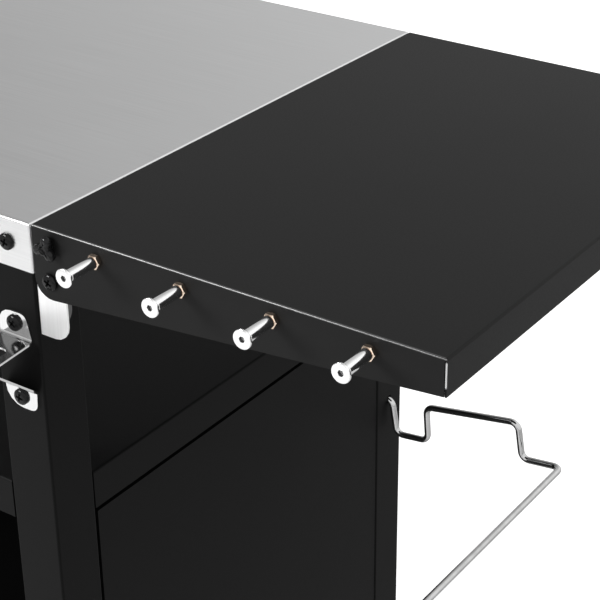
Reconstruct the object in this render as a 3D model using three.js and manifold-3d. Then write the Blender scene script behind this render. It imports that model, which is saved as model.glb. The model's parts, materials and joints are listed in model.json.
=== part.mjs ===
import * as THREE from 'three';
import { mergeVertices } from 'three/addons/utils/BufferGeometryUtils.js';
import Module from 'manifold-3d';

// Millimetres, +X right, +Y back, +Z up. Lengths below are measured from the worktop's top front right
// corner: x to the right, y to the back, z up (so most heights are negative).
const totalHeight = 860;
const topLength = 840;
const topDepth = 500;
const topApron = 39;
const sheet = 1;
const topCornerRadius = 2;
const topBendRadius = 2;
const gap = 0.3;

// Square tube posts.
const postSize = 44;
const postWall = 1.5;
const postInset = 1.1;
const postRadius = 2;
const postBottom = -776;
const postCentre = postInset + postSize / 2;

// Shelves are pans with their flanges turned down.
const shelfFlange = 34;
const middleShelfTop = -231.6;
const bottomShelfTop = postBottom + shelfFlange;

// Cabinet panels.
const panelGap = 3;
const panelTopGap = 4.4;
const panelRecess = 1;
const panelReturn = 12;
const panelTop = middleShelfTop - shelfFlange - panelTopGap;
const panelBottom = bottomShelfTop + gap;
const panelStep = 8;
const panelTongueTop = panelTop + panelTopGap + 8;

// Folding side leaf: a pan whose front and back skirts taper to its outer end.
const leafStart = 0.8;
const leafEnd = 339;
const leafSheet = 1.2;
const leafFront = 0.9;
const leafBack = topDepth - leafFront;
const leafEndDepth = 27;
const leafInnerFlange = 14;
const leafInnerFlangeStart = 9;
const leafCornerSlit = 0.7;
const skirtSlope = 0.0892;
const pivot = [15.5, -41];
const pivotCornerRadius = 14.7;
const knobCentre = [17, -13.3];

// Hinge brackets.
const bracketSheet = 1.5;
const bracketFront = 2.4;
const bracketBend = 2.5;
const bracketTabBottom = -88.3;
const bracketTabWidth = 27.2;
const bracketFlangeBottom = -91.5;
const bracketFlangeDepth = 35.3;
const slotHalfWidth = 3.2;

// Fasteners.
const apronScrewHeight = -19.3;
const pivotShank = 3;
const knobShank = 2.8;
const screwShank = 2.4;
const screwHead = 6.5;
const screwHeadHeight = 3.4;
const runningClearance = 0.09;

// Utensil hooks.
const hookX = [59.7, 134.3, 208.9, 283.5];
const hookHeight = -12.3;
const hookReach = 31.5;
const hookBarrel = 4.5;
const hookStud = 3;
const hookHead = 7;
const nutThickness = 4;
const nutAcrossFlats = 10;

// Bottle opener: one strip of steel bent into a loop.
const openerX = -postCentre;
const openerSides = [-38.8, -7.2];
const openerScrews = [-84.7, -147.2];
const openerSheet = 1.5;
const openerBend = 2.5;
const openerReach = 47;

// Bag holder: one bent wire.
const wire = 3.25;
const wireHole = 4.2;
const wirePeg = -381.2;
const wireReach = 194;
const wireFront = postCentre;
const wireBack = topDepth - postCentre;

// Casters.
const floor = -totalHeight;
const wheelRadius = 32;
const wheelWidth = 20;
const wheelSides = 32;
const casterTrail = 22;
const casterPin = 5;
const axleRadius = 4;
const forkSheet = 2.5;
const forkInside = 11.2;
const brakePin = 2;

const knobReach = 6.5;
const originShift = [
  (topLength - leafEnd) / 2,
  -(topDepth + knobReach - openerReach) / 2,
  totalHeight,
];

const wasm = await Module();
wasm.setup();

const assembly = new THREE.Group();
assembly.name = 'kitchen_island_cart';

const finishes = {
  stainless: [0xb9bbbc, 0.34, 1],
  blackCoat: [0x2b2b2c, 0.5, 0.2],
  chrome: [0xdedfe0, 0.12, 1],
  blackScrew: [0x141415, 0.3, 0.6],
  brassNut: [0xc9b48a, 0.28, 1],
  zinc: [0xa9abad, 0.4, 1],
  rubber: [0x1d1d1e, 0.8, 0],
  plastic: [0x18181a, 0.5, 0],
};

function solid(geometry) {
  geometry.deleteAttribute('normal');
  geometry.deleteAttribute('uv');
  const welded = mergeVertices(geometry, 1e-4);
  return new wasm.Manifold(new wasm.Mesh({
    numProp: 3,
    vertProperties: welded.attributes.position.array,
    triVerts: Uint32Array.from(welded.index.array),
  }));
}

function add(name, shape, finish) {
  const mesh = shape.getMesh();
  const geometry = new THREE.BufferGeometry();
  geometry.setAttribute('position', new THREE.BufferAttribute(Float32Array.from(mesh.vertProperties), 3));
  geometry.setIndex(new THREE.BufferAttribute(Uint32Array.from(mesh.triVerts), 1));
  geometry.translate(...originShift);
  geometry.computeVertexNormals();
  const [color, roughness, metalness] = finishes[finish];
  const part = new THREE.Mesh(geometry, new THREE.MeshStandardMaterial({ color, roughness, metalness }));
  part.name = name;
  assembly.add(part);
}

function box(x0, x1, y0, y1, z0, z1) {
  const geometry = new THREE.BoxGeometry(x1 - x0, y1 - y0, z1 - z0);
  geometry.translate((x0 + x1) / 2, (y0 + y1) / 2, (z0 + z1) / 2);
  return solid(geometry);
}

// Outline from corners given as [x, y, radius].
function rounded(corners, steps = 4) {
  const outline = [];
  corners.forEach(([x, y, radius = 0], index) => {
    const corner = new THREE.Vector2(x, y);
    if (radius === 0) {
      outline.push(corner);
      return;
    }
    const before = corners[(index + corners.length - 1) % corners.length];
    const after = corners[(index + 1) % corners.length];
    const toBefore = new THREE.Vector2(before[0] - x, before[1] - y).normalize();
    const toAfter = new THREE.Vector2(after[0] - x, after[1] - y).normalize();
    const half = Math.acos(toBefore.dot(toAfter)) / 2;
    const middle = toBefore.clone().add(toAfter).normalize();
    const centre = corner.clone().addScaledVector(middle, radius / Math.sin(half));
    const start = corner.clone().addScaledVector(toBefore, radius / Math.tan(half)).sub(centre);
    const turn = Math.sign(start.cross(middle.clone().negate())) * (Math.PI - 2 * half);
    for (let i = 0; i <= steps; i += 1) {
      outline.push(start.clone().rotateAround(new THREE.Vector2(), (turn * i) / steps).add(centre));
    }
  });
  return outline;
}

function rectangle(x0, x1, y0, y1, radius = 0) {
  return rounded([[x0, y0, radius], [x1, y0, radius], [x1, y1, radius], [x0, y1, radius]]);
}

// A prism of an outline: along Z it is drawn in x, y; along Y in x, z; along X in y, z.
const prismBases = {
  x: [new THREE.Vector3(0, 1, 0), new THREE.Vector3(0, 0, 1), new THREE.Vector3(1, 0, 0)],
  y: [new THREE.Vector3(1, 0, 0), new THREE.Vector3(0, 0, 1), new THREE.Vector3(0, -1, 0)],
  z: [new THREE.Vector3(1, 0, 0), new THREE.Vector3(0, 1, 0), new THREE.Vector3(0, 0, 1)],
};

function prism(axis, outline, low, high) {
  const points = outline.map((point) => (point.isVector2 ? point : new THREE.Vector2(...point)));
  const geometry = new THREE.ExtrudeGeometry(new THREE.Shape(points), {
    depth: high - low,
    bevelEnabled: false,
  });
  geometry.applyMatrix4(new THREE.Matrix4().makeBasis(...prismBases[axis]));
  const along = { x: [low, 0, 0], y: [0, high, 0], z: [0, 0, low] }[axis];
  geometry.translate(...along);
  return solid(geometry);
}

function circle(x, y, radius, sides) {
  const points = [];
  for (let i = 0; i < sides; i += 1) {
    const angle = (2 * Math.PI * i) / sides;
    points.push([x + radius * Math.cos(angle), y + radius * Math.sin(angle)]);
  }
  return points;
}

function rod(axis, [a, b], radius, low, high, sides = 20) {
  return prism(axis, circle(a, b, radius, sides), low, high);
}

// A turned solid about an axis parallel to Y; the profile is [radius, y] from the front to the back.
function turned([x, z], profile, sides = 24) {
  const points = profile.map(([radius, y]) => new THREE.Vector2(radius, y));
  const geometry = new THREE.LatheGeometry(points, sides);
  geometry.translate(x, 0, z);
  return solid(geometry);
}

// Mirrors front to back about the worktop's middle.
function mirrorBack(shape) {
  return shape.mirror([0, 1, 0]).translate([0, topDepth, 0]);
}

// The plan of the space inside the worktop's aprons, reduced by a clearance.
function apronInside(clearance) {
  const inset = sheet + clearance;
  return rectangle(inset - topLength, -inset, inset, topDepth - inset, topCornerRadius - sheet);
}

function worktop() {
  const plan = rectangle(-topLength, 0, 0, topDepth, topCornerRadius);
  const across = [
    [0, -topApron], [topDepth, -topApron], [topDepth, 0, topBendRadius], [0, 0, topBendRadius],
  ];
  const along = [
    [-topLength, -topApron], [0, -topApron], [0, 0, topBendRadius], [-topLength, 0, topBendRadius],
  ];
  let shape = prism('z', plan, -topApron, 0)
    .intersect(prism('x', rounded(across), -topLength, 0))
    .intersect(prism('y', rounded(along), 0, topDepth))
    .subtract(prism('z', apronInside(0), -topApron - 1, -sheet));
  for (const x of [-postCentre, postCentre - topLength]) {
    shape = shape.subtract(rod('y', [x, apronScrewHeight], screwShank + gap, -1, topDepth + 1, 12));
  }
  return shape;
}

function worktopStiffener() {
  const [width, depth, lip] = [70, 18, 12];
  const middle = topDepth / 2;
  const hat = [
    [middle - width / 2 - lip, -sheet], [middle + width / 2 + lip, -sheet],
    [middle + width / 2 + lip, -sheet * 2], [middle + width / 2, -sheet * 2],
    [middle + width / 2, -sheet - depth], [middle - width / 2, -sheet - depth],
    [middle - width / 2, -sheet * 2], [middle - width / 2 - lip, -sheet * 2],
  ];
  const hollow = [
    [middle - width / 2 + sheet, -sheet * 2], [middle + width / 2 - sheet, -sheet * 2],
    [middle + width / 2 - sheet, -depth], [middle - width / 2 + sheet, -depth],
  ];
  const endInset = 20;
  const [left, right] = [endInset - topLength, -endInset];
  return prism('x', hat.reverse(), left, right).subtract(prism('x', hollow.reverse(), left - 1, right + 1));
}

function post(right, front) {
  const x0 = right ? -postInset - postSize : postInset - topLength;
  const y0 = front ? postInset : topDepth - postInset - postSize;
  const [x1, y1] = [x0 + postSize, y0 + postSize];
  const outer = rectangle(x0, x1, y0, y1, postRadius);
  const inner = rectangle(x0 + postWall, x1 - postWall, y0 + postWall, y1 - postWall);
  const faceY = front ? y0 : y1;
  const hole = (x, z, radius) => rod('y', [x, z], radius, faceY - postWall - 1, faceY + postWall + 1, 12);
  const middleX = (x0 + x1) / 2;
  const apronClearance = 0.05;
  const apronZone = box(-topLength, 0, 0, topDepth, -topApron - gap, 0)
    .subtract(prism('z', apronInside(apronClearance), -topApron - 1, 1));
  let shape = prism('z', outer, postBottom, -sheet - gap)
    .subtract(prism('z', inner, postBottom - 1, 0))
    .subtract(apronZone)
    .subtract(hole(middleX, apronScrewHeight, screwShank + gap));
  if (right) {
    const middleY = (y0 + y1) / 2;
    shape = shape.subtract(rod('x', [middleY, wirePeg], wireHole, x1 - postWall - 1, x1 + 1));
  }
  if (right && front) {
    for (const z of openerScrews) shape = shape.subtract(hole(openerX, z, screwShank + gap));
  }
  return shape;
}

function shelf(top) {
  const plan = (inset, notch) => {
    const [x0, x1, y0, y1] = [inset - topLength, -inset, inset, topDepth - inset];
    return [
      [x0 + notch, y0], [x1 - notch, y0], [x1 - notch, y0 + notch], [x1, y0 + notch],
      [x1, y1 - notch], [x1 - notch, y1 - notch], [x1 - notch, y1], [x0 + notch, y1],
      [x0 + notch, y1 - notch], [x0, y1 - notch], [x0, y0 + notch], [x0 + notch, y0 + notch],
    ];
  };
  const bottom = top - shelfFlange;
  const [x0, x1, y0, y1] = [postInset - topLength, -postInset, postInset, topDepth - postInset];
  const across = rounded([[y0, bottom], [y1, bottom], [y1, top, topBendRadius], [y0, top, topBendRadius]]);
  const along = rounded([[x0, bottom], [x1, bottom], [x1, top, topBendRadius], [x0, top, topBendRadius]]);
  return prism('z', plan(postInset, postSize + gap), bottom, top)
    .intersect(prism('x', across, x0, x1))
    .intersect(prism('y', along, y0, y1))
    .subtract(prism('z', plan(postInset + sheet, postSize + gap), bottom - 1, top - sheet));
}

// A sheet panel open to the inside, its returns turned in at both ends and at the bottom. Its top edge
// steps in and runs up behind the shelf's flange.
function panel(x0, x1, y0, y1, openSide) {
  const inside = { x0: x0 + sheet, x1: x1 - sheet, y0: y0 + sheet, y1: y1 - sheet };
  inside[openSide] += openSide.endsWith('0') ? -2 * sheet : 2 * sheet;
  const behindFace = (near, far, trim) => ({
    x0: [x1 - far, x1 - near, y0 + trim, y1 - trim],
    x1: [x0 + near, x0 + far, y0 + trim, y1 - trim],
    y0: [x0 + trim, x1 - trim, y1 - far, y1 - near],
  })[openSide];
  return box(x0, x1, y0, y1, panelBottom, panelTop)
    .subtract(box(inside.x0, inside.x1, inside.y0, inside.y1, panelBottom + sheet, panelTop + 1))
    .add(box(...behindFace(0, panelStep, 0), panelTop - sheet, panelTop))
    .add(box(...behindFace(panelStep - sheet, panelStep, sheet + gap), panelTop - sheet, panelTongueTop));
}

function sidePanel(right) {
  const outer = postInset + panelRecess;
  const start = postInset + postSize + panelGap;
  const end = topDepth - postInset - postSize - gap;
  if (right) return panel(-outer - panelReturn, -outer, start, end, 'x0');
  return panel(outer - topLength, outer + panelReturn - topLength, start, end, 'x1');
}

function backPanel() {
  const outer = topDepth - postInset - panelRecess;
  const start = postInset + postSize + panelGap;
  return panel(start - topLength, -start, outer - panelReturn, outer, 'y0');
}

// The leaf seen from the front: level top, skirt tapering to the outer end, corner round the pivot.
function leafOutline() {
  const endSkirt = -leafEndDepth;
  const skirtAt = (x) => endSkirt - (leafEnd - x) * skirtSlope;
  const left = pivot[0] - pivotCornerRadius;
  return rounded([
    [left, 0, leafSheet], [left, skirtAt(left), pivotCornerRadius],
    [leafEnd, endSkirt], [leafEnd, 0, topBendRadius],
  ], 6);
}

function leaf() {
  const deep = -70;
  const drillDepth = 5;
  const across = [[leafFront, deep], [leafBack, deep], [leafBack, 0, leafSheet], [leafFront, 0, leafSheet]];
  const [innerFront, innerBack] = [leafFront + leafSheet, leafBack - leafSheet];
  const left = pivot[0] - pivotCornerRadius;
  let shape = prism('y', leafOutline(), leafFront, leafBack)
    .intersect(prism('x', rounded(across), leafStart, leafEnd))
    .subtract(box(left + leafSheet, leafEnd - leafSheet, innerFront, innerBack, deep, -leafSheet))
    .subtract(box(0, left + 2 * leafSheet, innerFront, innerBack, deep, -leafInnerFlange));
  for (const y of [innerFront, innerBack - leafInnerFlangeStart]) {
    shape = shape.subtract(box(0, left + 2 * leafSheet, y, y + leafInnerFlangeStart, deep, -leafSheet));
  }
  const clearances = [[pivot, pivotShank], [knobCentre, knobShank]];
  for (const [centre, shank] of clearances) {
    shape = shape.subtract(rod('y', centre, shank + runningClearance, -1, topDepth + 1));
  }
  const hookHole = hookStud + runningClearance;
  for (const x of hookX) {
    shape = shape.subtract(rod('y', [x, hookHeight], hookHole, -1, leafFront + drillDepth));
  }
  const slitEnd = leafEnd - leafSheet;
  for (const [y0, y1] of [[0, innerFront + 1], [innerBack - 1, topDepth]]) {
    shape = shape.subtract(box(slitEnd - leafCornerSlit, slitEnd, y0, y1, deep, -topBendRadius));
  }
  return shape;
}

function leafStiffener() {
  const [start, width, depth] = [150, 50, 14];
  const [front, back] = [leafFront + 2 * leafSheet, leafBack - 2 * leafSheet];
  return box(start, start + width, front, back, -leafSheet - depth, -leafSheet)
    .subtract(box(start + sheet, start + width - sheet, front - 1, back + 1, -depth, -leafSheet + 1));
}

// The slot lets the lock knob's shank follow the leaf through a quarter turn.
function knobSlot() {
  const radius = Math.hypot(knobCentre[0] - pivot[0], knobCentre[1] - pivot[1]);
  const start = Math.atan2(knobCentre[1] - pivot[1], knobCentre[0] - pivot[0]);
  const steps = 16;
  const outline = [];
  const arc = (centre, size, from, to, count) => {
    for (let i = 0; i <= count; i += 1) {
      const angle = from + ((to - from) * i) / count;
      outline.push([centre[0] + size * Math.cos(angle), centre[1] + size * Math.sin(angle)]);
    }
  };
  const onArc = (angle) => [pivot[0] + radius * Math.cos(angle), pivot[1] + radius * Math.sin(angle)];
  const end = start - Math.PI / 2;
  arc(pivot, radius + slotHalfWidth, end, start, steps);
  arc(onArc(start), slotHalfWidth, start, start + Math.PI, 8);
  arc(pivot, radius - slotHalfWidth, start, end, steps);
  arc(onArc(end), slotHalfWidth, end + Math.PI, end + 2 * Math.PI, 8);
  return prism('y', outline, bracketFront - 1, bracketFront + bracketSheet + 1);
}

// An L of folded sheet: a plate behind the leaf's skirt, which carries the pivot, and a flange on the post.
function hingeBracket() {
  const underApron = -topApron - 1;
  const innerBend = bracketBend - bracketSheet;
  const [left, front, back] = [-postInset, bracketFront, bracketFlangeDepth];
  const [armEnd, armBottom, armTop, slopeEnd, plateTop] = [52, -49, -34, 34, -5];
  const fold = rounded([
    [left, front, bracketBend], [armEnd, front], [armEnd, front + bracketSheet],
    [left + bracketSheet, front + bracketSheet, innerBend], [left + bracketSheet, back], [left, back],
  ]);
  const plate = rounded([
    [left, bracketTabBottom], [bracketTabWidth, bracketTabBottom, 13], [bracketTabWidth, armBottom, 3],
    [armEnd, armBottom, 6], [armEnd, armTop, 8], [slopeEnd, plateTop, 14],
    [leafStart + 1, plateTop], [leafStart + 1, underApron], [left, underApron],
  ]);
  const flange = rounded([
    [front, bracketTabBottom], [8, bracketFlangeBottom], [back, bracketFlangeBottom, 9],
    [back, underApron, 5], [front, underApron],
  ]);
  const bendEnd = front + bracketBend;
  const behindBend = box(left, left + bracketBend, bendEnd, back, bracketFlangeBottom, 0);
  return prism('y', plate, front, bendEnd)
    .add(prism('x', flange, left, left + bracketBend).intersect(behindBend))
    .intersect(prism('z', fold, bracketFlangeBottom, 0))
    .subtract(rod('y', pivot, pivotShank + runningClearance, front - 1, front + bracketSheet + 1))
    .subtract(knobSlot());
}

// Pan-head screw along Y with a cross recess; head underside at y = seat.
function panScrew([x, z], seat, headRadius, headHeight, shankRadius, length) {
  const front = seat - headHeight;
  const dome = [[0, 0], [0.45, 0.06], [0.8, 0.28], [0.97, 0.62], [1, 0.85], [1, 1]];
  const profile = [
    ...dome.map(([across, down]) => [headRadius * across, front + headHeight * down]),
    [shankRadius, seat], [shankRadius, seat + length], [0, seat + length],
  ];
  const arm = headRadius * 0.5;
  const slot = headRadius * 0.11;
  const recess = headHeight * 0.55;
  return turned([x, z], profile)
    .subtract(box(x - arm, x + arm, front - 1, front + recess, z - slot, z + slot))
    .subtract(box(x - slot, x + slot, front - 1, front + recess, z - arm, z + arm));
}

function pivotScrew() {
  return panScrew(pivot, leafFront - gap, screwHead, screwHeadHeight, pivotShank, 6);
}

function lockKnob() {
  const [x, z] = knobCentre;
  const [face, neck, shankEnd] = [-knobReach, leafFront - gap, 9];
  const [lobeOffset, lobeRadius, collarRadius] = [6.2, 3.6, 5];
  const back = neck - 2;
  let shape = rod('y', knobCentre, collarRadius + 0.6, face + 1, back, 24)
    .add(rod('y', knobCentre, collarRadius, back - 1, neck, 24))
    .add(rod('y', knobCentre, knobShank, neck - 1, shankEnd));
  for (const turn of [75, 195, 315]) {
    const angle = THREE.MathUtils.degToRad(turn);
    const lobe = [x + lobeOffset * Math.cos(angle), z + lobeOffset * Math.sin(angle)];
    shape = shape.add(rod('y', lobe, lobeRadius, face, back, 20));
  }
  return shape;
}

function hook(x) {
  const face = -hookReach;
  const nutFace = leafFront - nutThickness;
  const neck = hookBarrel * 0.95;
  const profile = [
    [0, face], [hookHead - 0.5, face], [hookHead, face + 0.5], [hookHead, face + 1.2],
    [neck, face + 3.2], [neck, face + 4.2], [hookBarrel, face + 4.6], [hookBarrel, nutFace - gap],
    [hookStud, nutFace - gap], [hookStud, leafFront + 5], [0, leafFront + 5],
  ];
  const [socketRadius, socketDepth] = [2.3, 2.5];
  return turned([x, hookHeight], profile)
    .subtract(prism('y', circle(x, hookHeight, socketRadius, 6), face - 1, face + socketDepth));
}

function hookNut(x) {
  const corner = nutAcrossFlats / Math.sqrt(3);
  const front = leafFront - nutThickness;
  return prism('y', circle(x, hookHeight, corner, 6), front, leafFront)
    .subtract(rod('y', [x, hookHeight], hookStud + runningClearance, front - 1, leafFront + 1));
}

// The opener's strip seen from the side, then its tabs' outlines seen from the front.
function bottleOpener() {
  const [back, front] = [postInset, postInset - openerSheet];
  const [tabTop, hoodBack, hoodFront, footTop, footBottom] = [-75.8, -96.5, -100, -139.5, -156.8];
  const reach = -openerReach;
  const strip = [
    [back, tabTop], [back, hoodBack - openerSheet, openerBend + openerSheet],
    [reach + 3, hoodFront - openerSheet],
    [back, footTop, 1], [back, footBottom], [front, footBottom],
    [front, footTop - 0.9, 1], [reach, hoodFront - 1, 1], [reach + 1, hoodFront + 0.2, 1],
    [front, hoodBack, openerBend], [front, tabTop],
  ];
  const [left, right] = openerSides;
  const face = rounded([
    [left, footBottom, 16], [right - 1, footBottom, 7], [right, footTop], [right, hoodBack],
    [right - 3, tabTop - 8, 4], [right - 5, tabTop, 6], [left, tabTop, 12], [left, hoodBack],
    [left, footTop],
  ]);
  const capSlot = rectangle(openerX - 9, openerX + 9, -38, -17, 5);
  let shape = prism('x', rounded(strip).reverse(), left, right)
    .intersect(prism('y', face, reach - 1, back))
    .subtract(prism('z', capSlot, hoodFront - 6, hoodBack + 2));
  for (const z of openerScrews) {
    shape = shape.subtract(rod('y', [openerX, z], screwShank + gap, front - 1, back + 1, 12));
  }
  return shape;
}

// A curve through given samples, so that bends get samples and straight runs don't.
class SampledPath extends THREE.Curve {
  constructor(samples) {
    super();
    this.samples = samples;
  }

  getPoint(t) {
    const last = this.samples.length - 1;
    const index = Math.min(Math.floor(t * last + 1e-9), last - 1);
    return this.samples[index].clone().lerp(this.samples[index + 1], t * last - index);
  }

  getPointAt(u) {
    return this.getPoint(u);
  }

  getTangentAt(u) {
    const last = this.samples.length - 1;
    const index = Math.round(u * last);
    const before = this.samples[Math.max(index - 1, 0)];
    const after = this.samples[Math.min(index + 1, last)];
    return after.clone().sub(before).normalize();
  }
}

function bendSamples(corners, radius) {
  const steps = 4;
  const points = corners.map((corner) => new THREE.Vector3(...corner));
  const samples = [points[0]];
  for (let i = 1; i < points.length - 1; i += 1) {
    const toBefore = points[i - 1].clone().sub(points[i]).normalize();
    const toAfter = points[i + 1].clone().sub(points[i]).normalize();
    const half = toBefore.angleTo(toAfter) / 2;
    const middle = toBefore.clone().add(toAfter).normalize();
    const centre = points[i].clone().addScaledVector(middle, radius / Math.sin(half));
    const start = points[i].clone().addScaledVector(toBefore, radius / Math.tan(half)).sub(centre);
    const axis = toAfter.clone().cross(toBefore).normalize();
    for (let step = 0; step <= steps; step += 1) {
      const angle = ((Math.PI - 2 * half) * step) / steps;
      samples.push(start.clone().applyAxisAngle(axis, angle).add(centre));
    }
  }
  samples.push(points[points.length - 1]);
  return samples;
}

function bagHolder() {
  const arm = [
    [-12, wirePeg], [2.6, wirePeg], [9.2, -418.5], [46, -414], [43, -375.5],
    [145.5, -358], [152, -396.5], [wireReach, -391.5],
  ];
  const frontArm = arm.map(([x, z]) => [x, wireFront, z]);
  const backArm = arm.map(([x, z]) => [x, wireBack, z]).reverse();
  const samples = bendSamples([...frontArm, ...backArm], 6);
  const outline = circle(0, 0, wire, 10).map((point) => new THREE.Vector2(...point));
  const geometry = new THREE.ExtrudeGeometry(new THREE.Shape(outline), {
    steps: samples.length - 1,
    extrudePath: new SampledPath(samples),
    bevelEnabled: false,
  });
  return solid(geometry);
}

function casterMount([x, y]) {
  const [plateTop, plateThickness, plugHeight, pinLength] = [postBottom, 3, 14, 10];
  const halfPlug = postSize / 2 - postWall - 0.5;
  const plateBottom = plateTop - plateThickness;
  const half = postSize / 2;
  return prism('z', rectangle(x - half, x + half, y - half, y + half, postRadius), plateBottom, plateTop)
    .add(box(x - halfPlug, x + halfPlug, y - halfPlug, y + halfPlug, plateTop - 1, plateTop + plugHeight))
    .add(rod('z', [x, y], casterPin, plateBottom - pinLength, plateTop, 24));
}

function casterFork([x, y], braked) {
  const [crownTop, crownBottom, bridgeTop] = [floor + 80.5, floor + 69.5, floor + 73];
  const axle = [x + casterTrail, floor + wheelRadius];
  const forkOutside = forkInside + forkSheet;
  const armOutline = rounded([
    [x - 15, bridgeTop], [x - 14, floor + 58, 8], [axle[0] - 9, floor + 23, 8],
    [axle[0] + 9, floor + 23, 8], [axle[0] + 17, floor + 62, 6], [axle[0] + 17, bridgeTop, 4],
  ]);
  let shape = rod('z', [x, y], 15, crownBottom, crownTop, 28)
    .add(box(x - 15, x + 26, y - forkOutside, y + forkOutside, crownBottom, bridgeTop));
  for (const side of [y - forkOutside, y + forkInside]) {
    shape = shape.add(prism('y', armOutline, side, side + forkSheet));
  }
  shape = shape
    .subtract(rod('z', [x, y], casterPin + runningClearance, crownBottom - 1, crownTop + 1, 24))
    .subtract(rod('y', axle, axleRadius + runningClearance, y - 20, y + 20));
  if (braked) {
    shape = shape.subtract(rod('y', brakePivot(x), brakePin + runningClearance, y - 20, y + 20, 16));
  }
  return shape;
}

function casterWheel([x, y]) {
  const bore = axleRadius + runningClearance;
  const half = wheelWidth / 2;
  const halfProfile = [
    [bore, half], [9, half], [10, half - 2.5], [21, half - 2.5], [23, half - 0.5],
    [wheelRadius - 2, half - 0.5], [wheelRadius, half - 2.5],
  ];
  const front = halfProfile.map(([radius, side]) => [radius, -side]);
  const profile = [...front, ...halfProfile.reverse(), front[0]];
  // The facets lie outside the nominal radius, and one of them is flat on the floor.
  const flatten = 1 / Math.cos(Math.PI / wheelSides);
  const facets = profile.map(([radius, side]) => [radius * flatten, side]);
  return turned([0, 0], facets, wheelSides)
    .rotate([0, 180 / wheelSides, 0])
    .translate([x + casterTrail, y, floor + wheelRadius]);
}

function casterAxle([x, y]) {
  const arm = forkInside + forkSheet;
  const [head, headHeight, nut, nutHeight] = [6, 3, 6.4, 4];
  const profile = [
    [0, -arm - headHeight], [head, -arm - headHeight + 0.6], [head, -arm], [axleRadius, -arm],
    [axleRadius, arm], [nut, arm], [nut, arm + nutHeight], [0, arm + nutHeight],
  ];
  return turned([x + casterTrail, floor + wheelRadius], profile, 20).translate([0, y, 0]);
}

function brakePivot(x) {
  return [x + casterTrail + 12, floor + wheelRadius + 36];
}

function brakePedal([x, y]) {
  const centre = [x + casterTrail, floor + wheelRadius];
  const [inner, outer, half] = [33.2, 36, 10.4];
  const [bandStart, bandEnd, bandStep] = [22, 70, 8];
  const band = [];
  for (let angle = bandStart; angle <= bandEnd; angle += bandStep) band.push([outer, angle]);
  for (let angle = bandEnd; angle >= bandStart; angle -= bandStep) band.push([inner, angle]);
  const bandOutline = band.map(([radius, degrees]) => {
    const angle = THREE.MathUtils.degToRad(degrees);
    return [centre[0] + radius * Math.cos(angle), centre[1] + radius * Math.sin(angle)];
  });
  const treadCorners = [[31, 17.5], [47, 15, 1], [48, 18, 1.4], [30, 21.5]];
  const tread = rounded(
    treadCorners.map(([across, up, radius]) => [centre[0] + across, centre[1] + up, radius]),
    2,
  );
  const pivotCentre = brakePivot(x);
  const arm = forkInside + forkSheet;
  return prism('y', bandOutline, y - half, y + half)
    .add(prism('y', tread, y - half, y + half))
    .add(rod('y', pivotCentre, 4, y - half, y + half, 16))
    .add(rod('y', pivotCentre, brakePin, y - arm, y + arm, 16));
}

add('worktop', worktop(), 'stainless');
add('worktop_stiffener', worktopStiffener(), 'zinc');
const corners = [
  ['front_right', true, true],
  ['front_left', false, true],
  ['back_right', true, false],
  ['back_left', false, false],
];
for (const [place, right, front] of corners) {
  const centre = [
    right ? -postCentre : postCentre - topLength,
    front ? postCentre : topDepth - postCentre,
  ];
  const apronScrew = panScrew(
    [centre[0], apronScrewHeight],
    0,
    screwHead,
    screwHeadHeight,
    screwShank,
    5,
  );
  add(`post_${place}`, post(right, front), 'blackCoat');
  add(`apron_screw_${place}`, front ? apronScrew : mirrorBack(apronScrew), 'blackScrew');
  add(`caster_mount_${place}`, casterMount(centre), 'zinc');
  add(`caster_fork_${place}`, casterFork(centre, front), 'zinc');
  add(`caster_wheel_${place}`, casterWheel(centre), 'rubber');
  add(`caster_axle_${place}`, casterAxle(centre), 'zinc');
  if (front) add(`brake_pedal_${place}`, brakePedal(centre), 'plastic');
}
add('middle_shelf', shelf(middleShelfTop), 'blackCoat');
add('bottom_shelf', shelf(bottomShelfTop), 'blackCoat');
add('side_panel_right', sidePanel(true), 'blackCoat');
add('side_panel_left', sidePanel(false), 'blackCoat');
add('back_panel', backPanel(), 'blackCoat');
add('side_leaf', leaf(), 'blackCoat');
add('side_leaf_stiffener', leafStiffener(), 'blackCoat');
for (const [place, placed] of [['front', (shape) => shape], ['back', mirrorBack]]) {
  add(`hinge_bracket_${place}`, placed(hingeBracket()), 'stainless');
  add(`pivot_screw_${place}`, placed(pivotScrew()), 'blackScrew');
  add(`lock_knob_${place}`, placed(lockKnob()), 'plastic');
}
hookX.forEach((x, index) => {
  add(`hook_${index + 1}`, hook(x), 'chrome');
  add(`hook_nut_${index + 1}`, hookNut(x), 'brassNut');
});
add('bottle_opener', bottleOpener(), 'stainless');
openerScrews.forEach((z, index) => {
  const seat = postInset - openerSheet;
  const place = index === 0 ? 'top' : 'bottom';
  const screw = panScrew([openerX, z], seat, screwHead, screwHeadHeight, screwShank, 6);
  add(`opener_screw_${place}`, screw, 'blackScrew');
});
add('bag_holder', bagHolder(), 'chrome');

export default assembly;
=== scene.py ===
import json
import math

import bmesh
import bpy
from mathutils import Matrix, Vector

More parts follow.
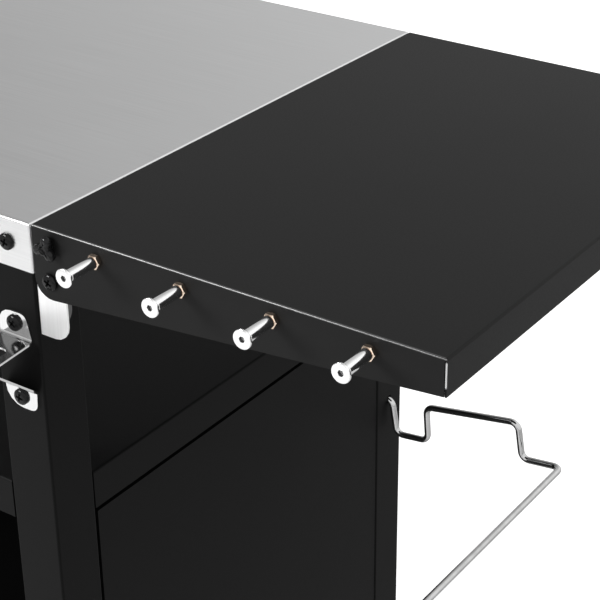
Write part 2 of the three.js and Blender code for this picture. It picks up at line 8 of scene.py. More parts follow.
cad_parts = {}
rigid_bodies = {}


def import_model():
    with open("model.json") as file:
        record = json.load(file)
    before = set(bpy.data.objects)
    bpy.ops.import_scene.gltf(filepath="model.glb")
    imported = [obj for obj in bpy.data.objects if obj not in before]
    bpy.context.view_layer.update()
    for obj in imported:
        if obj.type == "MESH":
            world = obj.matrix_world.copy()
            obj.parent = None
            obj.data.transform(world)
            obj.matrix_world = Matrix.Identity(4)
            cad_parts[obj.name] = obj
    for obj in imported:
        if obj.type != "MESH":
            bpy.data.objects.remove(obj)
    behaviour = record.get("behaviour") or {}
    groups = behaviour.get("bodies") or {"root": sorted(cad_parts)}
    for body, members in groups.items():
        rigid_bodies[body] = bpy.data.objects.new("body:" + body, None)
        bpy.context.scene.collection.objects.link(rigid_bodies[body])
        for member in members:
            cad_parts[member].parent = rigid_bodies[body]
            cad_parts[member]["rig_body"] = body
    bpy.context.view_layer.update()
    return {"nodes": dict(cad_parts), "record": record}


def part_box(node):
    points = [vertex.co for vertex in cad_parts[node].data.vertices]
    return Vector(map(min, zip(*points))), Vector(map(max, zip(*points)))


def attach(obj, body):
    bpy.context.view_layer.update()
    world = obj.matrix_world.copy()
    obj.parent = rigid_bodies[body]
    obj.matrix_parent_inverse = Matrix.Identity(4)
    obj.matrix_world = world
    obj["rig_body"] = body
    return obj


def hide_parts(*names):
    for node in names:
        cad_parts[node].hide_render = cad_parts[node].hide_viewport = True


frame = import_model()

# The visual model of a kitchen island cart round its CAD frame. Scene lengths are in metres; the numbers of a
# shape are in mm and are multiplied by MM.

NODES = frame["nodes"]
PLACES = ("front_right", "front_left", "back_right", "back_left")
MM = 0.001

worktop_low, worktop_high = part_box("worktop")
TOP_CORNER = Vector((worktop_high.x, worktop_low.y, worktop_high.z))    # top front right corner of the worktop
WORKTOP_BACK = worktop_high.y


# ---------------------------------------------------------------- materials

# Colour sockets of a Mix node, which share their names with its sockets for numbers.
MIX_FACTOR, MIX_A, MIX_B, MIX_RESULT = 0, 6, 7, 2

FINE_GRAIN = 2600.0    # noise scale of a grain of about 0.4 mm
BRUSHED_ALONG_X = (9, 900, 900)
BRUSHED_UPRIGHT = (900, 900, 14)
SCRATCHED_UPRIGHT = (900, 900, 90)
TURNED_ABOUT_Y = (260, 2200, 260)


def grey(level):
    """A neutral colour."""
    return (level, level, level)


class Nodes:
    """Short calls for building one material's node tree."""

    def __init__(self, name):
        self.material = bpy.data.materials.new(name)
        self.material.use_nodes = True
        self.tree = self.material.node_tree
        self.shader = self.tree.nodes["Principled BSDF"]

    def node(self, kind, **settings):
        made = self.tree.nodes.new(kind)
        for key, value in settings.items():
            setattr(made, key, value)
        return made

    def link(self, source, target):
        self.tree.links.new(source, target)

    def place(self, stretch=(1, 1, 1)):
        """The object's own coordinates, in metres, each times its stretch."""
        coordinates = self.node("ShaderNodeTexCoord")
        mapping = self.node("ShaderNodeMapping")
        mapping.inputs["Scale"].default_value = stretch
        self.link(coordinates.outputs["Object"], mapping.inputs["Vector"])
        return mapping.outputs["Vector"]

    def noise(self, scale, detail, stretch=(1, 1, 1)):
        made = self.node("ShaderNodeTexNoise")
        made.inputs["Scale"].default_value = scale
        made.inputs["Detail"].default_value = detail
        self.link(self.place(stretch), made.inputs["Vector"])
        return made.outputs["Fac"]

    def cells(self, scale):
        made = self.node("ShaderNodeTexVoronoi")
        made.inputs["Scale"].default_value = scale
        self.link(self.place(), made.inputs["Vector"])
        return made.outputs["Color"]

    def spread(self, value, low, high, start=0.3, end=0.7):
        """Maps a noise value from start..end to low..high."""
        made = self.node("ShaderNodeMapRange")
        made.inputs["From Min"].default_value = start
        made.inputs["From Max"].default_value = end
        made.inputs["To Min"].default_value = low
        made.inputs["To Max"].default_value = high
        self.link(value, made.inputs["Value"])
        return made.outputs["Result"]

    def sum(self, a, b):
        made = self.node("ShaderNodeMath", operation="ADD")
        self.link(a, made.inputs[0])
        self.link(b, made.inputs[1])
        return made.outputs[0]

    def ramp(self, value, dark, light, start=0.3, end=0.7):
        """Maps a noise value from start..end to the colours dark..light."""
        made = self.node("ShaderNodeMix", data_type="RGBA")
        made.inputs[MIX_A].default_value = (*dark, 1)
        made.inputs[MIX_B].default_value = (*light, 1)
        self.link(self.spread(value, 0, 1, start, end), made.inputs[MIX_FACTOR])
        return made.outputs[MIX_RESULT]

    def bump(self, *layers):
        """Each layer is a value, its strength and its height in millimetres."""
        normal = None
        for value, strength, height in layers:
            made = self.node("ShaderNodeBump")
            made.inputs["Strength"].default_value = strength
            made.inputs["Distance"].default_value = height * MM
            self.link(value, made.inputs["Height"])
            if normal is not None:
                self.link(normal, made.inputs["Normal"])
            normal = made.outputs["Normal"]
        self.link(normal, self.shader.inputs["Normal"])

    def set(self, **values):
        """Gives the shader's sockets a value or a link each, and returns the material."""
        for key, value in values.items():
            socket = self.shader.inputs[key.replace("_", " ")]
            if isinstance(value, bpy.types.NodeSocket):
                self.link(value, socket)
            else:
                socket.default_value = value
        return self.material


def worktop_steel():
    made = Nodes("satin_worktop_steel")
    streaks = made.noise(1.0, 4, BRUSHED_ALONG_X)
    smears = made.noise(11.0, 3, (0.6, 1.4, 2.2))
    fine = made.noise(FINE_GRAIN, 2)
    made.bump((streaks, 0.10, 0.02), (smears, 0.04, 0.8), (fine, 0.06, 0.01))
    rough = made.sum(made.spread(streaks, 0.30, 0.37), made.spread(smears, -0.03, 0.04))
    return made.set(
        Base_Color=made.ramp(streaks, (0.69, 0.692, 0.694), (0.75, 0.752, 0.754)),
        Metallic=1.0, Roughness=rough, Anisotropic=0.15,
    )


def bracket_steel(name, level, roughness):
    made = Nodes(name)
    streaks = made.noise(1.0, 4, BRUSHED_UPRIGHT)
    smears = made.noise(30.0, 2)
    made.bump((streaks, 0.10, 0.02))
    return made.set(
        Base_Color=made.ramp(streaks, grey(level), grey(level + 0.06)),
        Metallic=1.0, Roughness=made.spread(smears, roughness, roughness + 0.06),
    )


def painted_edge_highlight(low, high):
    """Painted highlight on the cut edge of a coated sheet: bright steel between two heights in mm, where the
    edge's highlight shows, and near-black coat beyond them.
    """
    made = Nodes("cut_edge_painted_highlight")
    blur = 0.6
    split = made.node("ShaderNodeSeparateXYZ")
    made.link(made.place(), split.inputs[0])
    above = made.spread(split.outputs["Z"], 0, 1, (low - blur) * MM, (low + blur) * MM)
    below = made.spread(split.outputs["Z"], 1, 0, (high - blur) * MM, (high + blur) * MM)
    highlight_strip = made.node("ShaderNodeMath", operation="MULTIPLY")
    made.link(above, highlight_strip.inputs[0])
    made.link(below, highlight_strip.inputs[1])
    scratches = made.noise(1.0, 4, SCRATCHED_UPRIGHT)
    made.bump((scratches, 0.10, 0.02))
    # The bright strip is a painted highlight along the edge; beyond it the colour is the near-black coat.
    return made.set(
        Base_Color=made.ramp(highlight_strip.outputs[0], grey(0.01), grey(0.50), 0, 1),
        Metallic=1.0, Roughness=made.spread(scratches, 0.20, 0.30),
    )


def black_coat(name, level, gloss):
    """Powder coat, with the fine peel of its kind."""
    made = Nodes(name)
    peel = made.noise(650.0, 2)
    grain = made.noise(FINE_GRAIN, 2)
    clouds = made.noise(5.0, 3)
    made.bump((peel, 0.16, 0.05), (grain, 0.18, 0.02))
    rough = made.sum(made.spread(peel, 0.44, 0.50), made.spread(clouds, -0.02, 0.02))
    return made.set(
        Base_Color=made.ramp(clouds, grey(level), grey(level * 1.25)),
        Roughness=rough, Specular_IOR_Level=gloss,
    )


def painted_bend_highlight_coat():
    """The coat over a tight bend, glossier than on the flats and lighter in colour: its lighter colour is a
    painted highlight along the bend.
    """
    made = Nodes("black_coat_over_bend_painted_highlight")
    grain = made.noise(FINE_GRAIN, 2)
    made.bump((grain, 0.10, 0.02))
    return made.set(
        Base_Color=made.ramp(grain, grey(0.016), grey(0.024)),
        Roughness=made.spread(grain, 0.27, 0.33), Specular_IOR_Level=1.0,
    )


def chrome(name, low, high, roughness):
    made = Nodes(name)
    rings = made.noise(1.0, 3, TURNED_ABOUT_Y)
    haze = made.noise(90.0, 2)
    made.bump((rings, 0.05, 0.01))
    return made.set(
        Base_Color=made.ramp(haze, grey(low), grey(high)),
        Metallic=1.0, Roughness=made.spread(rings, roughness, roughness + 0.07),
    )


def brass_nut():
    made = Nodes("yellow_plated_nut")
    haze = made.noise(500.0, 3)
    made.bump((haze, 0.10, 0.02))
    return made.set(
        Base_Color=made.ramp(haze, (0.88, 0.66, 0.50), (0.96, 0.80, 0.66)),
        Metallic=1.0, Roughness=made.spread(haze, 0.08, 0.13),
    )


def black_screw():
    made = Nodes("gloss_black_screw")
    pits = made.noise(1800.0, 2)
    made.bump((pits, 0.15, 0.02))
    return made.set(
        Base_Color=made.ramp(pits, (0.004, 0.004, 0.004), (0.007, 0.007, 0.0072)),
        Roughness=made.spread(pits, 0.06, 0.11), Specular_IOR_Level=0.17,
    )


def zinc_steel():
    made = Nodes("zinc_plated_steel")
    spangle = made.cells(320.0)
    haze = made.noise(60.0, 3)
    made.bump((haze, 0.08, 0.03))
    return made.set(
        Base_Color=made.ramp(spangle, (0.50, 0.51, 0.52), (0.60, 0.61, 0.62), 0.0, 1.0),
        Metallic=1.0, Roughness=made.spread(haze, 0.28, 0.40),
    )


def wheel_rubber():
    made = Nodes("wheel_rubber")
    pores = made.noise(1500.0, 3)
    dust = made.noise(45.0, 4)
    made.bump((pores, 0.20, 0.04))
    return made.set(
        Base_Color=made.ramp(dust, (0.016, 0.016, 0.017), (0.032, 0.031, 0.030)),
        Roughness=made.spread(dust, 0.52, 0.68),
    )


def hub_plastic():
    made = Nodes("wheel_hub_plastic")
    grain = made.noise(1200.0, 2)
    haze = made.noise(70.0, 2)
    made.bump((grain, 0.12, 0.03))
    return made.set(
        Base_Color=made.ramp(haze, (0.20, 0.205, 0.21), (0.235, 0.24, 0.245)),
        Roughness=made.spread(grain, 0.38, 0.50),
    )


def moulded_plastic(name, roughness):
    made = Nodes(name)
    grain = made.noise(2200.0, 2)
    haze = made.noise(120.0, 2)
    made.bump((grain, 0.14, 0.02))
    return made.set(
        Base_Color=made.ramp(haze, (0.006, 0.006, 0.0062), (0.009, 0.009, 0.0094)),
        Roughness=made.spread(grain, roughness, roughness + 0.1), Specular_IOR_Level=0.20,
    )


MATERIALS = {
    "worktop_steel": worktop_steel(),
    "bracket_steel": bracket_steel("satin_hinge_steel", 0.93, 0.38),
    # The frame's coat is a darker copy of the leaf's coat: painted shade on the frame.
    "black_coat": black_coat("frame_coat_painted_shade", 0.0028, 0.062),
    "chrome_hook": chrome("hook_chrome", 0.78, 0.86, 0.10),
    "chrome_wire": chrome("wire_chrome", 0.46, 0.56, 0.07),
    "brass_nut": brass_nut(),
    "black_screw": black_screw(),
    "zinc_steel": zinc_steel(),
    "wheel_rubber": wheel_rubber(),
    "knob_plastic": moulded_plastic("knob_plastic", 0.09),
    "pedal_plastic": moulded_plastic("pedal_plastic", 0.42),
}
HUB_PLASTIC = hub_plastic()
# Bend coat, painted lighter as a highlight along the leaf's top bends.
BEND_HIGHLIGHT_COAT = painted_bend_highlight_coat()
# A lighter copy of the frame's coat: painted light on the leaf.
LIT_LEAF_COAT = black_coat("leaf_coat_painted_light", 0.0066, 0.105)
BRIGHT_STEEL = bracket_steel("bright_opener_steel", 0.66, 0.10)
# A darker copy of the bracket steel: painted shade on the flange under the leaf.
FLANGE_SHADE_STEEL = bracket_steel("flange_painted_shade_steel", 0.10, 0.30)
# Darker steel for the hook's socket: painted shade in its recess.
SOCKET_SHADE_STEEL = chrome("socket_painted_shade", 0.22, 0.34, 0.30)

# CAD nodes whose look differs from the rest of their material slot: the opener's brighter steel, and the
# leaf's coat, a lighter copy of the frame's coat as painted light.
FINISH_AND_PAINTED_LIGHT_BY_NODE = {"side_leaf": LIT_LEAF_COAT, "side_leaf_stiffener": LIT_LEAF_COAT, "bottle_opener": BRIGHT_STEEL}


# ---------------------------------------------------------------- mesh pieces

def finish_mesh(bm, name, material, smooth_angle=35):
    """Makes an object of a bmesh, smooth except at edges sharper than smooth_angle."""
    bmesh.ops.recalc_face_normals(bm, faces=bm.faces)
    mesh = bpy.data.meshes.new(name)
    bm.to_mesh(mesh)
    bm.free()
    mesh.shade_smooth()
    mesh.set_sharp_from_angle(angle=math.radians(smooth_angle))
    mesh.materials.append(material)
    piece = bpy.data.objects.new(name, mesh)
    bpy.context.scene.collection.objects.link(piece)
    return piece


def hexagon(flats):
    """Radius of a hexagon with that size across flats, corners at 0, 60, 120 degrees and so on."""
    return lambda angle: flats / 2 / math.cos((angle % (math.pi / 3)) - math.pi / 6)


def cut_hexagon(flats, limit):
    """Radius of a hexagon whose corners are cut back to that limit."""
    full = hexagon(flats)
    return lambda angle: min(full(angle), limit)


def cross(reach, half_width):
    """Radius of a plus sign."""
    tiny = 1e-6

    def radius(angle):
        c = max(abs(math.cos(angle)), tiny)
        s = max(abs(math.sin(angle)), tiny)
        return max(min(reach / c, half_width / s), min(reach / s, half_width / c))
    return radius


def turned(name, rings, material, segments, smooth_angle, ring=False):
    """A piece lofted along -Y through rings of (radius, reach) in mm. A radius is a number or a function of
    the angle; reach counts outward, towards -Y. The ends are closed, or with ring=True the last ring meets the
    first."""
    seam = 1e-7
    bm = bmesh.new()
    loops = []
    for radius, reach in rings:
        loop = []
        for index in range(segments):
            angle = 2 * math.pi * index / segments
            r = radius(angle) if callable(radius) else radius
            loop.append(bm.verts.new((r * math.cos(angle) * MM, -reach * MM, r * math.sin(angle) * MM)))
        loops.append(loop)
    for before, after in zip(loops, loops[1:]):
        for i in range(segments):
            j = (i + 1) % segments
            bm.faces.new((before[i], before[j], after[j], after[i]))
    if ring:
        bmesh.ops.remove_doubles(bm, verts=bm.verts, dist=seam)
    else:
        bm.faces.new(loops[0])
        bm.faces.new(loops[-1])
    return finish_mesh(bm, name, material, smooth_angle)


def stand_for(piece, node, at, to_back=False, turn=0.0):
    """Puts a turned piece at a point in place of a CAD node, facing the front or the back; turn in degrees."""
    spin = Matrix.Rotation(math.radians(turn), 4, "Y")
    face = Matrix.Rotation(math.pi, 4, "Z") if to_back else Matrix.Identity(4)
    piece.matrix_world = Matrix.Translation(at) @ face @ spin
    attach(piece, NODES[node]["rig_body"])
    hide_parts(node)
    return piece


def arc_rings(radius, reach, size, start, end, steps):
    """Rings round a fillet of a turned piece; radius and reach are the fillet's centre, angles in degrees."""
    rings = []
    for step in range(steps + 1):
        angle = math.radians(start + (end - start) * step / steps)
        rings.append((radius + size * math.cos(angle), reach + size * math.sin(angle)))
    return rings


def pan_screw(name, node, turn, to_back=False):
    """Pan-head screw with a cross recess; its head's outer face is the CAD node's outer face."""
    low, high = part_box(node)
    head = (high.x - low.x) / 2 / MM
    head_height, shank = 3.4, 2.4
    dome = recess = head_height * 0.62
    dome_steps, dome_fullness = 9, 0.55
    reach, half_width, rim = head * 0.52, head * 0.13, 0.12    # of the recess
    # the shank's end, the head's edge, its dome, the recess
    rings = [(shank * 0.2, -6), (shank * 0.8, -6), (shank, -5.4), (shank, 0)]
    rings += [(head - 0.15, 0), (head, 0.15), (head, head_height - dome - 0.1)]
    for step in range(1, dome_steps):
        angle = math.pi / 2 * step / dome_steps
        r = head * math.cos(angle) ** dome_fullness
        if r > reach * 1.12:
            rings.append((r, head_height - dome + dome * math.sin(angle)))
    rings.append((cross(reach + rim, half_width + rim), head_height))
    rings.append((cross(reach, half_width), head_height - rim))
    rings.append((cross(reach * 0.75, half_width * 0.8), head_height - recess))
    piece = turned(name, rings, MATERIALS["black_screw"], 96, 30)
    seat = low.y + head_height * MM if not to_back else high.y - head_height * MM
    return stand_for(piece, node, Vector(((low.x + high.x) / 2, seat, (low.z + high.z) / 2)), to_back, turn)


def lobes(size):
    """Radius of three round lobes of that size on a core, the first one 75 degrees up from the right."""
    first, third = math.radians(75), math.pi * 2 / 3
    offset, core = 5.9, size * 0.6 + 2.6

    def radius(angle):
        away = (angle - first + third / 2) % third - third / 2
        across = offset * math.sin(away)
        if abs(across) >= size:
            return core
        on_lobe = offset * math.cos(away) + math.sqrt(size * size - across * across)
        return max(core, on_lobe)
    return radius


def lock_knob(name, node, to_back=False):
    """Moulded knob with three lobes round a dished middle."""
    low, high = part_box(node)
    inset = 0.6 * MM    # of the knob's seat, from the worktop's front or back
    axis_out, axis_down = 17, 13.3
    seat = TOP_CORNER.y + inset if not to_back else WORKTOP_BACK - inset
    reach = (seat - low.y if not to_back else high.y - seat) / MM
    # the screw behind it, the collar, the lobes as they swell and close, the dished middle
    rings = [(1.2, -9), (2.6, -9), (2.8, -8.6), (2.8, 0)]
    rings += [(4.6, 0), (4.8, 0.3), (4.8, 1.6)]
    rings += [(lobes(3.0), 1.6), (lobes(3.7), 2.0), (lobes(4.1), 2.7), (lobes(4.2), 3.6)]
    rings += [(lobes(4.1), reach - 2.0), (lobes(3.8), reach - 1.2), (lobes(3.3), reach - 0.65)]
    rings += [(lobes(2.6), reach - 0.25), (lobes(1.8), reach - 0.05), (lobes(0.9), reach)]
    rings += [(3.4, reach - 0.8), (2.6, reach - 1.9), (1.2, reach - 2.1)]
    piece = turned(name, rings, MATERIALS["knob_plastic"], 144, 40)
    centre = Vector((TOP_CORNER.x + axis_out * MM, seat, TOP_CORNER.z - axis_down * MM))
    return stand_for(piece, node, centre, to_back)


def utensil_hook(name, node):
    """Turned peg: a stud through the nut, a plain barrel, and a wider head with a hexagon socket."""
    low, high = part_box(node)
    length = (high.y - low.y) / MM
    head, barrel, stud = (high.x - low.x) / 2 / MM, 4.5, 3.0
    socket_flats, socket_depth, socket_bottom = 4.0, 2.4, 2.9
    nut_face = (high.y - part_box(node.replace("hook", "hook_nut"))[0].y) / MM
    # the stud, the barrel, its waist, the head's underside and rim, the socket
    rings = [(1.2, 0), (stud - 0.5, 0), (stud, 0.5), (stud, nut_face + 0.3)]
    rings += [(barrel - 0.5, nut_face + 0.3), (barrel, nut_face + 0.8)]
    rings += [(barrel, length - 4.9), (barrel * 0.95, length - 4.5)]
    rings += [(barrel * 0.95, length - 3.4), (barrel * 1.02, length - 3.0)]
    rings += [(head - 0.35, length - 1.6)]
    rings += arc_rings(head - 0.35, length - 1.25, 0.35, -90, 0, 4)
    rings += arc_rings(head - 0.4, length - 0.4, 0.4, 0, 90, 5)
    rings += [(hexagon(socket_flats + 0.3), length), (hexagon(socket_flats), length - 0.2)]
    rings += [(hexagon(socket_flats), length - socket_depth), (0.9, length - socket_bottom)]
    piece = turned(name, rings, MATERIALS["chrome_hook"], 96, 28)
    # The socket's faces take a darker steel: painted shade in the recess.
    piece.data.materials.append(SOCKET_SHADE_STEEL)
    for face in piece.data.polygons:
        across = math.hypot(face.center.x, face.center.z) / MM
        depth = length + face.center.y / MM
        face.material_index = int(across < socket_flats * 0.6 and 0.1 < depth < socket_bottom + 0.1)
    return stand_for(piece, node, Vector(((low.x + high.x) / 2, high.y, (low.z + high.z) / 2)))


def hook_nut(name, node):
    """Hexagon nut, its front corners cut by a chamfer."""
    low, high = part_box(node)
    thick = (high.y - low.y) / MM
    flats = (high.z - low.z) / MM
    bore = 3.1
    corner = flats / math.sqrt(3)
    rings = [(bore, 0), (cut_hexagon(flats, flats / 2), 0), (cut_hexagon(flats, corner - 0.30), 0.28)]
    rings += [(hexagon(flats), 0.5), (hexagon(flats), thick - 0.9)]
    rings += [(cut_hexagon(flats, corner - 0.45), thick - 0.5), (cut_hexagon(flats, flats / 2 - 0.4), thick)]
    rings += [(bore + 0.5, thick), (bore, thick - 0.4), (bore, 0)]
    piece = turned(name, rings, MATERIALS["brass_nut"], 96, 25, ring=True)
    return stand_for(piece, node, Vector(((low.x + high.x) / 2, high.y, (low.z + high.z) / 2)))


def bent_path(corners, radius):
    """Points along straight runs joined by round bends."""
    steps = 10
    points = [Vector(corner) for corner in corners]
    path = [points[0]]
    for before, here, after in zip(points, points[1:], points[2:]):
        to_before, to_after = (before - here).normalized(), (after - here).normalized()
        half = to_before.angle(to_after) / 2
        centre = here + (to_before + to_after).normalized() * (radius / math.sin(half))
        start = here + to_before * (radius / math.tan(half)) - centre
        axis = to_after.cross(to_before).normalized()
        for step in range(steps + 1):
            turn = Matrix.Rotation((math.pi - 2 * half) * step / steps, 3, axis)
            path.append(centre + turn @ start)
    path.append(points[-1])
    return path


def wire_tube(name, path, radius, material):
    """A round wire swept along a path, its cut ends slightly chamfered."""
    bm = bmesh.new()
    sides, chamfer = 28, radius * 0.2
    tangents = [(b - a).normalized() for a, b in zip(path, path[1:])]
    tangents = [tangents[0]] + [(a + b).normalized() for a, b in zip(tangents, tangents[1:])] + [tangents[-1]]
    side = tangents[0].orthogonal().normalized()
    stations = [(path[0], radius - chamfer), (path[0] + tangents[0] * chamfer, radius)]
    stations += [(point, radius) for point in path[1:-1]]
    stations += [(path[-1] - tangents[-1] * chamfer, radius), (path[-1], radius - chamfer)]
    ways = [tangents[0], *tangents, tangents[-1]]
    loops = []
    for (point, size), way in zip(stations, ways):
        side = (side - way * side.dot(way)).normalized()
        up = way.cross(side)
        loops.append([
            bm.verts.new(point + (side * math.cos(a) + up * math.sin(a)) * size)
            for a in (2 * math.pi * i / sides for i in range(sides))
        ])
    for before, after in zip(loops, loops[1:]):
        for i in range(sides):
            j = (i + 1) % sides
            bm.faces.new((before[i], before[j], after[j], after[i]))
    bm.faces.new(loops[0])
    bm.faces.new(loops[-1])
    return finish_mesh(bm, name, material, 50)


def bag_holder():
    """One bent wire. Its front arm is its back arm's mirror image, and arm holds their corners as x outward
    and z upward from the worktop's top right edge, in mm."""
    arm = [(-12, -381.2), (2.6, -381.2), (9.2, -418.5), (46, -414), (43, -375.5), (145.5, -358),
           (152, -396.5), (194, -391.5)]
    low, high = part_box("bag_holder")
    wire, bend = 3.25 * MM, 8.5 * MM
    front, back = (
        [Vector((TOP_CORNER.x + x * MM, y, TOP_CORNER.z + z * MM)) for x, z in arm]
        for y in (low.y + wire, high.y - wire)
    )
    path = bent_path(front + back[::-1], bend)
    piece = wire_tube("bag_holder_wire", path, wire, MATERIALS["chrome_wire"])
    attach(piece, "bag_holder")
    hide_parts("bag_holder")
    return piece


def caster_wheel(place):
    """Tyre and hub as two pieces; each outline runs from one side to the other, the second half mirrored."""
    node = f"caster_wheel_{place}"
    low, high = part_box(node)
    centre = (low + high) / 2
    outer, half = (high.z - low.z) / 2 / MM, (high.y - low.y) / 2 / MM    # radius and half width
    seat = 22.2    # radius at which the tyre sits on the hub
    tyre = [(seat, -half + 1.4), (seat + 0.4, -half + 0.5), (outer - 4, -half + 0.5)]
    tyre += [(outer - 1.6, -half + 1.0), (outer - 0.35, -half + 2.6), (outer, -half + 5)]
    tyre += [(radius, -reach) for radius, reach in reversed(tyre)]
    hub = [(4.3, -half), (8.4, -half), (9.0, -half + 0.6), (9.4, -half + 2.2)]
    hub += [(10.6, -half + 2.8), (19.2, -half + 2.8), (20.4, -half + 2.0)]
    hub += [(20.9, -half + 0.9), (22.1, -half + 0.9), (seat, -half + 1.4)]
    hub += [(radius, -reach) for radius, reach in reversed(hub)]
    for part, rings, material in (("tyre", tyre, MATERIALS["wheel_rubber"]), ("hub", hub, HUB_PLASTIC)):
        piece = turned(f"caster_{part}_{place}", rings + rings[:1], material, 96, 32, ring=True)
        piece.matrix_world = Matrix.Translation(centre)
        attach(piece, f"wheel_{place}")
        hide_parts(node)


# ---------------------------------------------------------------- CAD nodes that stay

def flatten_wide_faces(mesh):
    """Flat shading on every flat area wider than a bend's facets, smooth shading on the bends."""
    widest_facet = 2.2 * MM
    areas = {}
    for face in mesh.polygons:
        offset = face.normal.dot(face.center)
        key = (*(round(n, 3) for n in face.normal), round(offset / MM, 1))
        areas.setdefault(key, []).append(face)
    for faces in areas.values():
        spots = [mesh.vertices[v].co for face in faces for v in face.vertices]
        longest = max(max(spot[i] for spot in spots) - min(spot[i] for spot in spots) for i in range(3))
        wide = sum(face.area for face in faces) > widest_facet * longest
        for face in faces:
            face.use_smooth = not wide


def keep_cad(node, bevel):
    """Gives a CAD node its material, edges rounded by bevel in mm, and even shading."""
    piece = NODES[node]
    slot = next(s["material_slot"] for s in frame["record"]["subparts"] if s["node"] == node)
    piece.data.materials.clear()
    piece.data.materials.append(FINISH_AND_PAINTED_LIGHT_BY_NODE.get(node, MATERIALS[slot]))
    flatten_wide_faces(piece.data)
    weld = piece.modifiers.new("weld", "WELD")
    weld.merge_threshold = 1e-6
    planar = piece.modifiers.new("planar", "DECIMATE")
    planar.decimate_type = "DISSOLVE"
    planar.angle_limit = math.radians(0.3)
    planar.delimit = {"MATERIAL"}
    round_edges = piece.modifiers.new("round_edges", "BEVEL")
    round_edges.width = bevel * MM
    round_edges.segments = 2
    round_edges.limit_method = "ANGLE"
    round_edges.angle_limit = math.radians(32)
    round_edges.use_clamp_overlap = True
    shading = piece.modifiers.new("shading", "WEIGHTED_NORMAL")
    shading.keep_sharp = False
    shading.weight = 80


def paint_top_bend_highlights(node, width):
    """Gives the faces of a coated sheet's rounded top edges the glossier bend coat, whose lighter colour
    paints a highlight along them.
    """
    piece = NODES[node]
    low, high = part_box(node)
    piece.data.materials.append(BEND_HIGHLIGHT_COAT)
    for face in piece.data.polygons:
        beside = min(face.center.y - low.y, high.y - face.center.y)
        sloping = 0.05 < face.normal.z < 0.995
        if sloping and high.z - face.center.z < width and beside < width:
            face.material_index = 1


def paint_corner_edge_highlights(node, sheet):
    """Gives the cut edges at the leaf's outer corners a strip of bright steel on the upper part of their
    height, a painted highlight along the corner.
    """
    piece = NODES[node]
    low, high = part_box(node)
    strip_bottom, strip_top = 20.5, 3.0    # mm below the leaf's top
    piece.data.materials.append(painted_edge_highlight(high.z / MM - strip_bottom, high.z / MM - strip_top))
    for face in piece.data.polygons:
        beside = min(face.center.y - low.y, high.y - face.center.y)
        if abs(face.normal.y) > 0.9 and beside < 0.1 * MM and high.x - face.center.x < sheet:
            face.material_index = 2


def paint_flange_shade(node):
    """Gives the hinge bracket's long flange, which stands in the leaf's shade, a much darker copy of the
    bracket's steel: painted shade.
    """
    piece = NODES[node]
    piece.data.materials.append(FLANGE_SHADE_STEEL)
    flange_area = 600 * MM * MM    # the long flange's sides are larger, the bracket's others are smaller
    sideways = [face for face in piece.data.polygons if abs(face.normal.x) > 0.98]
    areas = {}
    for face in sideways:
        spot = round(face.center.x / MM, 1)
        areas[spot] = areas.get(spot, 0) + face.area
    for face in sideways:
        face.material_index = int(areas[round(face.center.x / MM, 1)] > flange_area)


# The width of the rounded edges on each CAD node that stays, in mm.
KEPT = {
    "worktop": 0.35, "worktop_stiffener": 0.3, "middle_shelf": 0.3, "bottom_shelf": 0.3,
    "side_panel_right": 0.4, "side_panel_left": 0.4, "back_panel": 0.4, "side_leaf": 0.3,
    "side_leaf_stiffener": 0.3, "hinge_bracket_front": 0.3, "hinge_bracket_back": 0.3, "bottle_opener": 0.3,
}
for spot in PLACES:
    KEPT[f"post_{spot}"] = 0.3
    KEPT[f"caster_mount_{spot}"] = 0.5
    KEPT[f"caster_fork_{spot}"] = 0.4
    KEPT[f"caster_axle_{spot}"] = 0.3
for spot in ("front_right", "front_left"):
    KEPT[f"brake_pedal_{spot}"] = 0.4
for cad_node, bevel_width in KEPT.items():
    keep_cad(cad_node, bevel_width)
paint_top_bend_highlights("side_leaf", 2.2 * MM)
paint_corner_edge_highlights("side_leaf", 1.3 * MM)
paint_flange_shade("hinge_bracket_front")
paint_flange_shade("hinge_bracket_back")


# ---------------------------------------------------------------- build

for index, spot in enumerate(PLACES):
    own_turn = 20 + 37 * index
    pan_screw(f"apron_pan_screw_{spot}", f"apron_screw_{spot}", own_turn, spot.startswith("back"))
    caster_wheel(spot)
pan_screw("opener_pan_screw_top", "opener_screw_top", 35)
pan_screw("opener_pan_screw_bottom", "opener_screw_bottom", 10)
for spot in ("front", "back"):
    pan_screw(f"pivot_pan_screw_{spot}", f"pivot_screw_{spot}", 25, spot == "back")
    lock_knob(f"lock_knob_{spot}_moulding", f"lock_knob_{spot}", spot == "back")
nuts = []
for index in range(1, 5):
    utensil_hook(f"utensil_hook_{index}", f"hook_{index}")
    nuts.append(hook_nut(f"utensil_hook_nut_{index}", f"hook_nut_{index}"))
wire_holder = bag_holder()


# ---------------------------------------------------------------- stage, light and camera

def seen_directly(tree):
    """1 where the camera sees the stage itself, 0 where the object reflects it."""
    return tree.nodes.new("ShaderNodeLightPath").outputs["Is Camera Ray"]


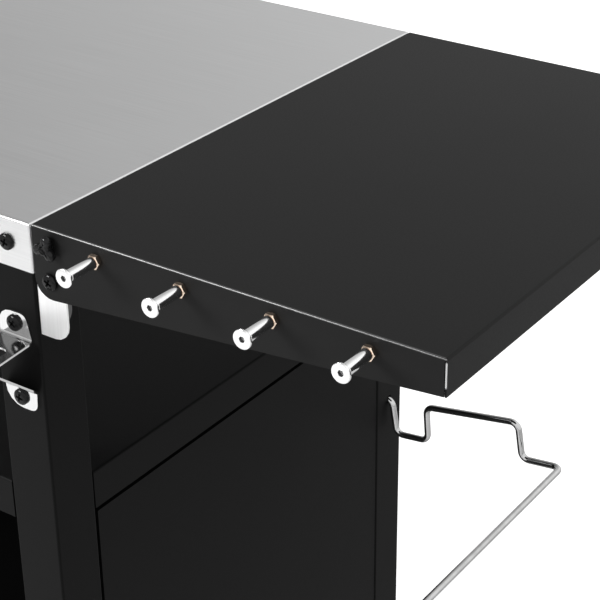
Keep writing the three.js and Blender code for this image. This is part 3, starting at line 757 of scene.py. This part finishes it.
def stage_floor():
    """A wide matt floor. The camera sees it paler and glowing, so that it runs into the white surround."""
    half_size, seen_glow = 30, 0.62    # in metres, and the strength of its glow
    made = Nodes("pale_floor")
    speckle = made.noise(3.0, 2)
    seen = seen_directly(made.tree)
    pale = made.node("ShaderNodeMix", data_type="RGBA")
    made.link(seen, pale.inputs[MIX_FACTOR])
    made.link(made.ramp(speckle, grey(0.77), grey(0.79)), pale.inputs[MIX_A])
    pale.inputs[MIX_B].default_value = (*grey(0.87), 1)
    made.set(Base_Color=pale.outputs[MIX_RESULT], Roughness=0.7)
    glow = made.node("ShaderNodeEmission")
    glow.inputs["Strength"].default_value = seen_glow
    dark = made.node("ShaderNodeEmission")
    dark.inputs["Strength"].default_value = 0.0
    pick = made.node("ShaderNodeMixShader")
    total = made.node("ShaderNodeAddShader")
    made.link(seen, pick.inputs[0])
    made.link(dark.outputs[0], pick.inputs[1])
    made.link(glow.outputs[0], pick.inputs[2])
    made.link(pick.outputs[0], total.inputs[0])
    made.link(made.shader.outputs[0], total.inputs[1])
    made.link(total.outputs[0], made.tree.nodes["Material Output"].inputs["Surface"])
    bm = bmesh.new()
    bmesh.ops.create_grid(bm, x_segments=4, y_segments=4, size=half_size)
    finish_mesh(bm, "floor", made.material)


def sky():
    """Soft studio surround, brightest low and to the right, dimmer overhead and to the left. Its strength is a
    level plus a share of the direction's x and z; the camera itself sees an even white."""
    level_ahead, share_x, share_z = 1.42, 1.0, -0.72
    dimmest, brightest, seen_white = 0.3, 1.2, 1.1
    world = bpy.data.worlds.new("studio")
    bpy.context.scene.world = world
    world.use_nodes = True
    tree = world.node_tree
    node = tree.nodes.new
    link = tree.links.new
    background = tree.nodes["Background"]
    split = node("ShaderNodeSeparateXYZ")
    link(node("ShaderNodeTexCoord").outputs["Generated"], split.inputs[0])
    total = None
    for output, weight in (("X", share_x), ("Z", share_z)):
        part = node("ShaderNodeMath")
        part.operation = "MULTIPLY_ADD"
        link(split.outputs[output], part.inputs[0])
        part.inputs[1].default_value = weight
        if total is None:
            part.inputs[2].default_value = level_ahead
        else:
            link(total, part.inputs[2])
        total = part.outputs[0]
    level = node("ShaderNodeClamp")
    link(total, level.inputs["Value"])
    level.inputs["Min"].default_value = dimmest
    level.inputs["Max"].default_value = brightest
    white = node("ShaderNodeBackground")
    white.inputs["Strength"].default_value = seen_white
    for shader in (background, white):
        shader.inputs["Color"].default_value = (1, 1, 1, 1)
    pick = node("ShaderNodeMixShader")
    link(level.outputs[0], background.inputs["Strength"])
    link(seen_directly(tree), pick.inputs[0])
    link(background.outputs[0], pick.inputs[1])
    link(white.outputs[0], pick.inputs[2])
    link(pick.outputs[0], tree.nodes["World Output"].inputs["Surface"])


def softbox(name, target, direction, distance, width, height, power):
    """An area light that shines at target from that direction; lengths in metres, power in watts."""
    light = bpy.data.lights.new(name, "AREA")
    light.shape = "RECTANGLE"
    light.size, light.size_y, light.energy = width, height, power
    lamp = bpy.data.objects.new(name, light)
    bpy.context.scene.collection.objects.link(lamp)
    back = Vector(direction).normalized()
    lamp.location = target + back * distance
    lamp.rotation_mode = "QUATERNION"
    lamp.rotation_quaternion = (-back).to_track_quat("-Z", "Y")
    return lamp


def keep_off(lamp, pieces):
    """Keeps a lamp's light off some pieces, as a card held in front of it would."""
    shaded = bpy.data.collections.new(f"kept_off_{lamp.name}")
    lamp.light_linking.receiver_collection = shaded
    for piece in pieces:
        shaded.objects.link(piece)
    for entry in shaded.collection_objects:
        entry.light_linking.link_state = "EXCLUDE"


def camera():
    """Stands in front of the worktop's corner and to its right, and looks back and down to the left."""
    azimuth, elevation, roll = math.radians(33.71), math.radians(27.19), math.radians(0.19)
    from_corner = Vector((776.6, -760.6, 502.0)) * MM
    level = math.cos(elevation)
    forward = Vector((-math.sin(azimuth) * level, math.cos(azimuth) * level, -math.sin(elevation)))
    right = Vector((math.cos(azimuth), math.sin(azimuth), 0))
    up = right.cross(forward)
    turned_right = right * math.cos(roll) + up * math.sin(roll)
    turned_up = -right * math.sin(roll) + up * math.cos(roll)
    data = bpy.data.cameras.new("camera")
    data.lens, data.sensor_width = 101.26, 36
    data.shift_x, data.shift_y = -0.0833, -0.03
    data.clip_start, data.clip_end = 0.05, 100
    eye = bpy.data.objects.new("camera", data)
    bpy.context.scene.collection.objects.link(eye)
    facing = Matrix((turned_right, turned_up, -forward)).transposed().to_4x4()
    eye.matrix_world = Matrix.Translation(TOP_CORNER + from_corner) @ facing
    bpy.context.scene.camera = eye


stage_floor()
sky()
key = softbox(
    "key", TOP_CORNER, direction=(-0.56, -0.72, 0.42), distance=2.2, width=0.9, height=0.9, power=54,
)
keep_off(key, [NODES["bottle_opener"], wire_holder, *nuts])
camera()
bpy.context.scene.view_settings.view_transform = "Standard"
